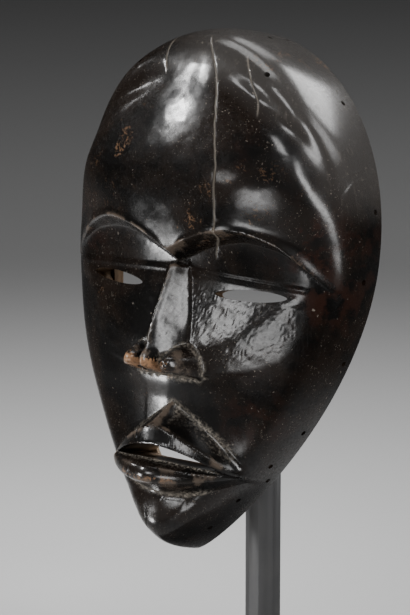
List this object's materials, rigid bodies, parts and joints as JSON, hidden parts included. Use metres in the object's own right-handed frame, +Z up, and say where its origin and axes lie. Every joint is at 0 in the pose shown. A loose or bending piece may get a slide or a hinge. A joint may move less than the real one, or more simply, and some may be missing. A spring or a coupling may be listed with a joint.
{
  "type": "carved wooden face mask on a stand",
  "caption": "Hollow carved wooden face mask with slit eyes and parted lips, leaning on a forked steel rod stand with a round post and a flat base plate.",
  "frame": {"origin": "middle of the base plate's underside, which is its resting face", "axes": "+Z up along the post, -Y the way the face looks, +X to the right of someone looking at the face"},
  "size_m": [0.156, 0.1711, 0.3428],
  "materials": {
    "mask_wood": "dark patinated hardwood, rubbed to a gloss, with dust in the creases and brown wear on the raised parts",
    "stand_steel": "satin dark grey",
    "base_paint": "matt black powder coat",
    "sleeve_rubber": "matt black"
  },
  "bodies": {
    "root": {"mask": "mask_wood", "base_plate": "base_paint", "post": "stand_steel", "fork": "stand_steel", "fork_sleeve_left": "sleeve_rubber", "fork_sleeve_right": "sleeve_rubber", "lower_arm": "stand_steel", "lower_pad": "sleeve_rubber"}
  },
  "joints": []
}
